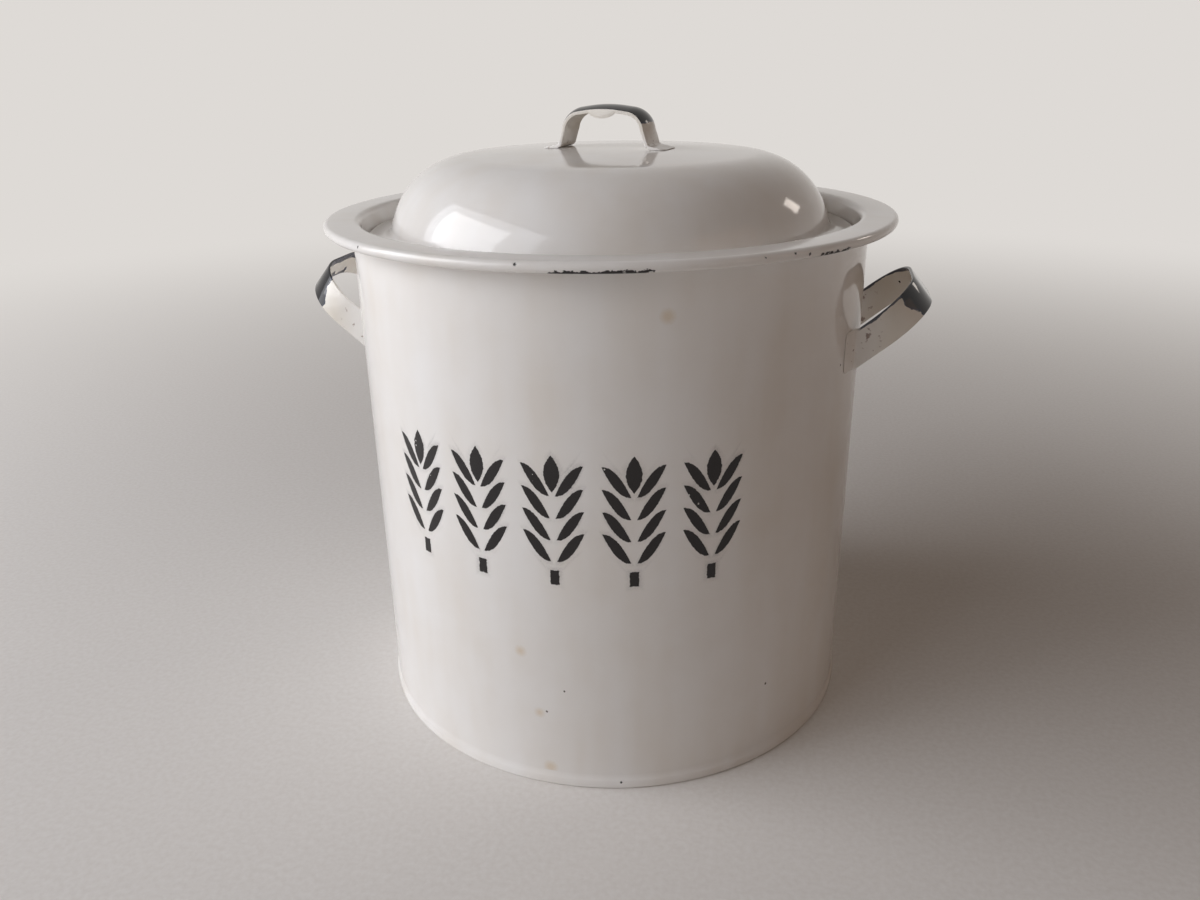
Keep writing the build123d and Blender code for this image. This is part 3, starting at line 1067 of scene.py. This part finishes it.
@dataclass
class Rim:
    """The collar round the mouth: rolled lip, level flange, leaning throat and the ledge for the lid."""

    wall_radius: float = 140.0
    height: float = 282.0
    overhang: float = 14.49
    sheet: float = 1.0
    gap: float = 0.1  # between the collar and the wall round it
    lip_radius: float = 2.1
    lip_turn: float = 285.0
    ledge_depth: float = 11.0
    ledge_width: float = 8.0
    turn_down: float = 4.0
    throat_slope: float = 12.0
    throat_bend: float = 3.5
    ledge_bend: float = 2.0

    def build(self) -> bpy.types.Object:
        """Models the collar.

        Returns:
            The piece.
        """
        flange = self.height - self.sheet / 2
        ledge = self.height - self.ledge_depth - self.sheet / 2
        lip = self.wall_radius + self.overhang - self.lip_radius - self.sheet / 2
        level_from = self.wall_radius - self.sheet - self.gap
        corner = level_from - self.throat_bend * tan(radians((90 - self.throat_slope) / 2))
        foot = corner - self.ledge_depth * tan(radians(self.throat_slope))
        edge = foot - self.ledge_width
        piece = start_piece("rim_sheet")
        line = SheetLine(edge, ledge - self.turn_down + self.sheet / 2, 90, self.sheet)
        line.through(
            [(edge, ledge), (foot, ledge), (corner, flange), (lip, flange)],
            [self.ledge_bend, self.ledge_bend, self.throat_bend],
        )
        line.bend(self.lip_radius, -self.lip_turn, 30)
        draw_line(line.outline(rounded_start=True))
        spin_round()
        return finish_piece(piece)

    def finish(self) -> bpy.types.Material:
        """Mixes the white enamel that is knocked off the lip in places.

        Returns:
            The finished material.
        """
        long_chips = ((10.2, 21.5, 278.3), (52.4, 9.0, 278.3), (-64.0, 4.0, 278.0))
        pits = (
            (-3.1, 280.6, 0.6), (-37.1, 280.2, 0.5), (42.8, 280.4, 0.5), (37.0, 280.2, 0.45),
            (45.9, 279.0, 0.6),
        )
        return ChippedEnamel(long_chips=long_chips, pits=tuple(Mark(*pit) for pit in pits)).material()


@dataclass
class Base:
    """The raised bottom, whose edge folds down and up again round the wall as a foot."""

    wall_radius: float = 140.0
    wall_sheet: float = 1.0
    sheet: float = 1.1
    gap: float = 0.1
    foot_height: float = 6.0
    recess: float = 8.0
    pan_bend: float = 4.55
    fold_bend: float = 0.65
    fillet_from: float = 4.6  # where the enamel that fills the foot's upper edge starts, mm up
    fillet_to: float = 8.2    # where it has run out on the wall
    fillet_foot: float = 0.02  # how far off the wall it runs out
    fillet_hollow: float = 1.7  # power of its hollow curve

    def build(self) -> bpy.types.Object:
        """Models the base pan.

        Returns:
            The piece.
        """
        half = self.sheet / 2
        inner = self.wall_radius - self.wall_sheet - self.gap - half
        outer = self.wall_radius + self.gap + half
        piece = start_piece("base_sheet")
        line = SheetLine(0, self.recess + half, 0, self.sheet)
        line.ahead(40).ahead(40)
        line.through(
            [(inner, self.recess + half), (inner, half), (outer, half), (outer, self.foot_height - half)],
            [self.pan_bend, self.fold_bend, self.fold_bend],
        )
        points = line.outline(rounded_start=False)
        # The free edge is drawn out into the fillet of enamel that closes the seam to the wall.
        last, steps = len(line.stations) - 1, len(ROUND_EDGE) + 1
        hollow = self.gap + self.sheet - self.fillet_foot
        for step, point in enumerate(points[last : last + steps + 1]):
            share = step / steps
            point.x = (self.wall_radius + self.fillet_foot + hollow * share**self.fillet_hollow) * MM
            point.z = (self.fillet_to + (self.fillet_from - self.fillet_to) * share) * MM
        draw_line(points)
        spin_round()
        return finish_piece(piece)

    def finish(self) -> bpy.types.Material:
        """Mixes the white enamel, chipped along the foot.

        Returns:
            The finished material.
        """
        return ChippedEnamel(
            name="vitreous_enamel_foot",
            radius=141.2,
            long_chips=((-4.2, 4.6, 1.2), (48.0, 3.0, 1.0), (-120.0, 7.0, 1.1)),
            pits=(Mark(12.9, 4.3, 0.6),),
        ).material()


@dataclass
class Lid:
    """The domed lid: nearly flat crown, round shoulder, concave root, flange and folded edge."""

    edge_radius: float = 131.93
    flange_width: float = 11.4
    flange_top: float = 273.4
    dome_height: float = 41.0
    crown_radius: float = 1100.0
    shoulder_radius: float = 45.0
    root_radius: float = 4.0
    sheet: float = 1.0
    hem_width: float = 3.0
    hem_bend: float = 0.05

    def build(self) -> bpy.types.Object:
        """Models the lid shell.

        Returns:
            The piece.
        """
        half = self.sheet / 2
        top = self.flange_top + self.dome_height
        centre_z = top - self.crown_radius
        shoulder_r = self.edge_radius - self.flange_width - self.shoulder_radius
        reach = self.crown_radius - self.shoulder_radius
        crown_turn = degrees(asin(shoulder_r / reach))
        shoulder_z = centre_z + sqrt(reach**2 - shoulder_r**2)
        root_z = self.flange_top + self.root_radius
        shoulder_end = degrees(asin((root_z - shoulder_z) / (self.shoulder_radius + self.root_radius)))
        hem = self.hem_bend + half
        piece = start_piece("lid_sheet")
        line = SheetLine(0, top - half, 0, self.sheet)
        line.bend(self.crown_radius - half, -crown_turn, 14)
        line.bend(self.shoulder_radius - half, -(90 - shoulder_end - crown_turn), 34)
        line.bend(self.root_radius + half, 90 - shoulder_end, 12)
        line.ahead(self.edge_radius - half - hem - line.r)
        line.bend(hem, -180, 8)
        line.ahead(self.hem_width - half)
        draw_line(line.outline(rounded_start=False))
        spin_round()
        return finish_piece(piece)

    def finish(self) -> bpy.types.Material:
        """Mixes the plain white enamel, with fewer pinholes than the bin's."""
        return VitreousEnamel(name="vitreous_enamel_lid", pinhole_pitch_mm=27.0).material()


@dataclass
class LidHandle:
    """The lid's strap handle: bowed top with round corners, two short legs and turned-out feet."""

    crown_top: float = 314.4
    crown_radius: float = 1100.0
    width: float = 20.0
    sheet: float = 1.8
    gap: float = 0.1         # under the feet
    span: float = 49.0
    rise: float = 22.7
    bow: float = 3.4
    corner_bend: float = 11.0
    peak_radius: float = 70.0
    foot_length: float = 11.0
    foot_bend: float = 1.6
    foot_corner: float = 4.0
    turn: float = -10.0
    edge_drop: float = 2.1   # how far the crowned strap's edges lie below its middle
    edge_round: float = 0.75
    flat_for: float = 2.0    # mm above a foot where the strap is still flat across
    crowned_after: float = 7.0  # mm further up, where it has all its crown
    drip_drop: float = 3.0   # the bead of enamel that hangs from the front edge
    drip_out: float = 0.5    # how far it swells to the front
    drip_reach: float = 7.5  # half its length
    drip_from: float = 6.5   # mm in front of the strap's middle
    drip_cuts: tuple[float, ...] = (1.5, 3.0, 4.4, 5.6, 6.6, 7.4)  # mm either side, for its curve
    foot_thin: float = 0.85  # share of its thickness that a foot loses towards its end, where it is fused

    def build(self) -> bpy.types.Object:
        """Models the handle.

        Returns:
            The piece.
        """
        half, leg = self.sheet / 2, self.span / 2
        slope = degrees(atan(self.bow / leg))
        corner = self.corner_bend + half
        foot_bend = self.foot_bend + half
        peak_cut = self.peak_radius * tan(radians(slope))
        corner_cut = corner * tan(radians((90 - slope) / 2))
        sag = self.foot_sag()
        peak_z = self.rise - half - self.peak_radius * (1 / cos(radians(slope)) - 1)
        corner_z = self.rise - self.bow - half
        # The end face stands across the strap at its peak and looks along +X.
        peak = Vector((0, 0, self.crown_top + peak_z)) * MM
        place = Matrix.Translation(peak) @ Matrix.Rotation(pi / 2, 4, "Y")
        piece = start_strap("lid_strap", self.sheet, self.width, place)
        strap = StrapLine(peak, Vector((1, 0, 0)), Vector((0, -1, 0)))
        strap.bend(self.peak_radius * MM, -slope, 5)
        strap.ahead((leg / cos(radians(slope)) - peak_cut - corner_cut) * MM)
        strap.bend(corner * MM, -(90 - slope), 16)
        strap.ahead((corner_z + sag - half - corner_cut - foot_bend) * MM)
        strap.bend(foot_bend * MM, 90, 8)
        strap.ahead((self.foot_length - foot_bend) * MM)
        end = strap.at.x
        pick(
            "EDGE",
            lambda e: all(abs(v.co.x - end) < 0.01 * MM for v in e.verts)
            and abs(e.verts[0].co.y - e.verts[1].co.y) < 0.01 * MM,
        )
        bpy.ops.mesh.bevel(offset=self.foot_corner * MM, segments=6)
        mirror_strap(piece, 0)
        bpy.ops.object.mode_set(mode="EDIT")
        drip_cuts = sorted(side * cut for side in (-1, 1) for cut in self.drip_cuts)
        for cuts, way in ((range(-9, 10), Vector((0, 1, 0))), (drip_cuts, Vector((1, 0, 0)))):
            for cut in cuts:
                bpy.ops.mesh.select_all(action="SELECT")
                bpy.ops.mesh.bisect(plane_co=way * cut * MM, plane_no=way)
        weld()
        self.crown_strap(piece)
        bpy.ops.object.mode_set(mode="OBJECT")
        round_strap(piece, self.edge_round)
        self.hang_drip(piece)
        bpy.ops.object.mode_set(mode="OBJECT")
        piece.rotation_euler = (0, 0, radians(self.turn))
        return finish_piece(piece, 40)

    def foot_sag(self) -> float:
        """How far the crown has fallen, in mm, under the corners of the feet."""
        reach = hypot(self.span / 2 + self.foot_length, self.width / 2)
        return self.crown_radius - sqrt(self.crown_radius**2 - reach**2)

    def crown_strap(self, piece: bpy.types.Object) -> None:
        """Rounds the strap across its width, and presses its feet to the lid.

        Args:
            piece: The handle, in edit mode.
        """
        work = bmesh.from_edit_mesh(piece.data)
        foot_top = self.crown_top - self.foot_sag() + self.sheet
        corner_x = self.span / 2 - self.corner_bend - self.sheet / 2
        corner_z = self.crown_top + self.rise - self.bow - self.corner_bend - self.sheet
        for vertex in work.verts:
            x, y, z = vertex.co / MM
            share = between((z - foot_top - self.flat_for) / self.crowned_after)
            drop = self.edge_drop * (2 * y / self.width) ** 2 * share * share * (3 - 2 * share)
            # The strap is crowned away from the line between the middles of its two corner bends.
            out = Vector((0, 0, z - corner_z))
            if abs(x) >= corner_x:
                out = Vector((x - copysign(corner_x, x), 0, max(z - corner_z, 0.0)))
            vertex.co -= out.normalized() * drop * MM
            near = between(foot_top + 1 - z)
            if near > 0 and abs(x) > self.span / 2 - 2:
                fallen = self.crown_radius - sqrt(self.crown_radius**2 - x * x - y * y)
                along = (abs(x) - self.span / 2 - self.foot_bend) / (self.foot_length - self.foot_bend)
                thinned = self.foot_thin * between(along) ** 0.7
                above = max(0.0, z - foot_top + self.sheet)
                vertex.co.z += (self.foot_sag() - fallen + self.gap - thinned * above) * near * MM
        bmesh.update_edit_mesh(piece.data)

    def hang_drip(self, piece: bpy.types.Object) -> None:
        """Pulls the middle of the front edge down into a bead of enamel.

        Args:
            piece: The handle, in edit mode.
        """
        work = bmesh.from_edit_mesh(piece.data)
        for vertex in work.verts:
            x, y, z = vertex.co / MM
            ahead = -self.drip_from - y
            on_top_strap = z > self.crown_top + self.rise / 2 and vertex.normal.z < 0.35
            if on_top_strap and ahead > 0 and abs(x) < self.drip_reach:
                swell = (1 - (x / self.drip_reach) ** 2) ** 0.8 * min(1.0, ahead / 2)
                vertex.co -= Vector((0, self.drip_out, self.drip_drop)) * swell * MM
        bmesh.update_edit_mesh(piece.data)

    def finish(self) -> bpy.types.Material:
        """Mixes the cream enamel with a dark upper face.

        Returns:
            The finished material.
        """
        return DippedEnamel(
            name="vitreous_enamel_lid_handle", dip=Dip.CROWN, root_height=327.0, wave_height_mm=0.03
        ).material()


class Side(Enum):
    """Which end of the X axis a side handle is on."""

    LEFT = -1
    RIGHT = 1


@dataclass
class SideHandle:
    """A bent strap handle, folded out at its two feet and fused to the wall."""

    side: Side
    wall_radius: float = 140.0
    gap: float = 0.1
    width: float = 16.5
    sheet: float = 1.8
    span: float = 76.0
    reach: float = 38.0
    slope: float = 40.0
    height: float = 220.0
    bend: float = 27.0
    tab_length: float = 12.0
    tab_corner: float = 5.0
    fold: float = 1.5
    edge_round: float = 0.75
    past_wall: float = 20.0  # how far the leg is pushed on through the wall before it is cut off
    tab_thin: float = 0.86   # share of its thickness that a tab loses towards its end, where it is fused
    thin_from: float = 0.5   # mm past the fold where that starts

    def build(self) -> bpy.types.Object:
        """Models the right-hand handle from its middle to one foot, then mirrors it.

        Returns:
            The piece.
        """
        half, leg = self.sheet / 2, self.span / 2
        lean = radians(self.slope)
        out, across = Vector((cos(lean), 0, sin(lean))), Vector((-sin(lean), 0, cos(lean)))
        bend, fold = self.bend + half, self.fold + half
        middle = Vector((self.wall_radius, 0, self.height)) + out * self.reach
        # The end face stands across the strap at the middle of the grip and looks along +Y.
        turned = Matrix((out, across, Vector((0, 1, 0)))).transposed().to_4x4()
        place = Matrix.Translation(middle * MM) @ turned
        piece = start_strap(f"{self.side.name.lower()}_strap", self.sheet, self.width, place)
        strap = StrapLine(middle * MM, Vector((0, 1, 0)), across)
        strap.ahead((leg - bend) * MM)
        strap.bend(bend * MM, 90, 18)
        # Down the leg and through the wall, then cut off upright where the fold starts.
        mid_radius = self.wall_radius + self.gap + half
        fold_y = leg + fold
        fold_x = sqrt((mid_radius + fold) ** 2 - fold_y**2)
        strap.ahead((self.reach - bend) * MM)
        strap.ahead(self.past_wall * MM)
        bpy.ops.mesh.select_all(action="SELECT")
        cut_at = (fold_x * MM, 0, 0)
        bpy.ops.mesh.bisect(plane_co=cut_at, plane_no=(1, 0, 0), use_fill=True, clear_inner=True)
        pick("FACE", lambda f: all(abs(v.co.x - fold_x * MM) < 0.005 * MM for v in f.verts))
        foot_z = self.height + (fold_x - self.wall_radius) * tan(lean)
        foot_line = StrapLine(Vector((fold_x, leg, foot_z)) * MM, Vector((-1, 0, 0)), Z_AXIS)
        start = degrees(asin(fold_y / (mid_radius + fold)))
        foot_line.bend(fold * MM, start - 90, 8)
        end = degrees(asin((leg + self.tab_length) / (self.wall_radius + self.gap + self.sheet)))
        foot_line.bend(mid_radius * MM, end - start, 6)
        tip = foot_line.at
        pick(
            "EDGE",
            lambda e: all((v.co - tip).dot(foot_line.along) > -0.05 * MM for v in e.verts)
            and abs(e.verts[0].co.z - e.verts[1].co.z) < 0.01 * MM
            and all(v.co.y > leg * MM for v in e.verts),
        )
        bpy.ops.mesh.bevel(offset=self.tab_corner * MM, segments=6, clamp_overlap=False)
        mirror_strap(piece, 1)
        round_strap(piece, self.edge_round)
        self.fuse_tabs(piece)
        bpy.ops.object.mode_set(mode="OBJECT")
        if self.side is Side.LEFT:
            piece.rotation_euler = (0, 0, pi)
        return finish_piece(piece, 40)

    def fuse_tabs(self, piece: bpy.types.Object) -> None:
        """Thins the tabs towards their ends, where the enamel runs over them on to the wall.

        Args:
            piece: The handle, in edit mode.
        """
        work = bmesh.from_edit_mesh(piece.data)
        face = (self.wall_radius + self.gap) * MM
        start = (self.span / 2 + self.fold + self.thin_from) * MM
        end = (self.span / 2 + self.tab_length) * MM
        for vertex in work.verts:
            radius = hypot(vertex.co.x, vertex.co.y)
            along = between((abs(vertex.co.y) - start) / (end - start))
            if along > 0 and face < radius < face + 1.2 * self.sheet * MM:
                wanted = face + (radius - face) * (1 - self.tab_thin * along**0.5)
                vertex.co.xy *= wanted / radius
        bmesh.update_edit_mesh(piece.data)

    def finish(self) -> bpy.types.Material:
        """Mixes the cream enamel whose grip is dipped in blue-black.

        Returns:
            The finished material.
        """
        right = self.side is Side.RIGHT
        return DippedEnamel(
            name=f"vitreous_enamel_{self.side.name.lower()}_handle",
            border=30.0 if right else 25.0,
            border_tilt=0.2 if right else -0.3,
            line_mm=1.0 if right else 1.7,
            near_leg_line=right,
            side=self.side.value,
        ).material()


@dataclass
class LipWire:
    """The steel wire inside the rolled lip, carried over from the CAD."""

    def dress(self) -> None:
        """Gives the CAD node its steel."""
        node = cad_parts["rim_wire"]
        node.data.materials.clear()
        node.data.materials.append(DrawnSteelWire().material())
        log.info("rim_wire: carried over")


# ---- stage --------------------------------------------------------------------------------------
@dataclass(frozen=True)
class SoftLamp:
    """A soft rectangular lamp that looks at the bin."""

    name: str
    azimuth: float  # degrees from the front towards +X
    height: float   # metres above the floor
    away: float     # metres from the bin's axis
    size: tuple[float, float]  # width and height in metres
    watts: float
    tint: str
    aim_height: float = 0.15   # metres up the bin's axis

    def hang(self) -> None:
        """Hangs the lamp."""
        data = bpy.data.lights.new(self.name, "AREA")
        data.shape, data.size, data.size_y = "RECTANGLE", *self.size
        data.energy, data.color = self.watts, linear(self.tint)[:3]
        lamp = bpy.data.objects.new(self.name, data)
        bpy.context.scene.collection.objects.link(lamp)
        turn = radians(self.azimuth)
        lamp.location = (sin(turn) * self.away, -cos(turn) * self.away, self.height)
        aim = Vector((0, 0, self.aim_height)) - lamp.location
        lamp.rotation_euler = aim.to_track_quat("-Z", "Y").to_euler()


@dataclass
class Studio:
    """Plain pale floor, soft window-like key from the left, pale surroundings and the camera."""

    floor_reach: float = 9.0
    camera_turn: float = 11.8        # degrees of the photograph's viewpoint towards +X
    camera_at: tuple[float, float, float] = (0.0, -549.1, 359.7)  # mm, in the viewpoint's own frame
    pitch: float = 22.10
    yaw: float = -0.79
    roll: float = -0.94
    focal_mm: float = 29.04
    ambient: float = 0.09
    ambient_tint: str = "#FFE8D6"
    lamps: tuple[SoftLamp, ...] = (
        SoftLamp("window_key", -68.2, 1.0, 1.75, (1.4, 0.95), 13.6, "#FBFCFF"),
        SoftLamp("window_wall", -62.2, 1.05, 2.1, (2.9, 1.9), 35.0, "#F8FAFF"),
        SoftLamp("far_doorway", 130.8, 1.1, 2.0, (0.28, 0.36), 1.5, "#FFF4EA"),
        SoftLamp("warm_fill", 73.8, 0.9, 2.2, (1.4, 1.2), 1.7, "#FFC9A0"),
    )

    def lay_floor(self) -> None:
        """Lays the floor."""
        clear_selection()
        bpy.ops.mesh.primitive_grid_add(x_subdivisions=8, y_subdivisions=8, size=2 * self.floor_reach)
        floor = bpy.context.object
        floor.name = "studio_floor"
        floor.data.materials.append(PaleFloor().material())

    def hang_world(self) -> None:
        """Makes dim warm surroundings that cameras and reflections see as a pale backdrop."""
        world = bpy.data.worlds.new("pale_surroundings")
        bpy.context.scene.world = world
        mix = Recipe(world)
        dim = mix.add("Background", {"Color": linear(self.ambient_tint), "Strength": self.ambient})
        pale = mix.add("Background", {"Color": linear(BACKDROP), "Strength": 1.0})
        both = mix.add("MixShader", (mix.sees_surroundings(), dim, pale))
        mix.add("OutputWorld", {"Surface": both})

    def place_camera(self) -> None:
        """Stands the camera at the photograph's viewpoint."""
        data = bpy.data.cameras.new("viewpoint")
        data.lens, data.sensor_width = self.focal_mm, 36.0
        camera = bpy.data.objects.new("viewpoint", data)
        bpy.context.scene.collection.objects.link(camera)
        side, down, tip = radians(self.yaw), radians(self.pitch), radians(self.roll)
        look = Vector((sin(side) * cos(down), cos(side) * cos(down), -sin(down)))
        level = look.cross(Z_AXIS).normalized()
        top = level.cross(look)
        right = level * cos(tip) + top * sin(tip)
        up = top * cos(tip) - level * sin(tip)
        turned = Matrix.Rotation(radians(self.camera_turn), 4, "Z")
        axes = Matrix((right, up, -look)).transposed().to_4x4()
        camera.matrix_world = turned @ Matrix.Translation(Vector(self.camera_at) * MM) @ axes
        bpy.context.scene.camera = camera

    def build(self) -> None:
        """Sets the whole stage."""
        self.lay_floor()
        self.hang_world()
        for lamp in self.lamps:
            lamp.hang()
        self.place_camera()
        bpy.context.scene.view_settings.view_transform = "Standard"


def main() -> None:
    """Builds the bin piece by piece, dresses each, and sets the stage."""
    logging.basicConfig(level=logging.INFO, format="%(name)s: %(message)s")
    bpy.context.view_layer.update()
    pieces = (
        (Wall(), "side_wall", "bin", "body_enamel"),
        (Rim(), "rim_collar", "bin", "body_enamel"),
        (Base(), "base_pan", "bin", "body_enamel"),
        (Lid(), "lid_shell", "lid", "lid_enamel"),
        (LidHandle(), "lid_handle", "lid", "handle_enamel"),
        (SideHandle(Side.LEFT), "left_handle", "bin", "handle_enamel"),
        (SideHandle(Side.RIGHT), "right_handle", "bin", "handle_enamel"),
    )
    for assembly, node, body, slot in pieces:
        hand_over(assembly.build(), node, body, assembly.finish())
    LipWire().dress()
    clear_selection()
    Studio().build()


if __name__ == "__main__":
    main()
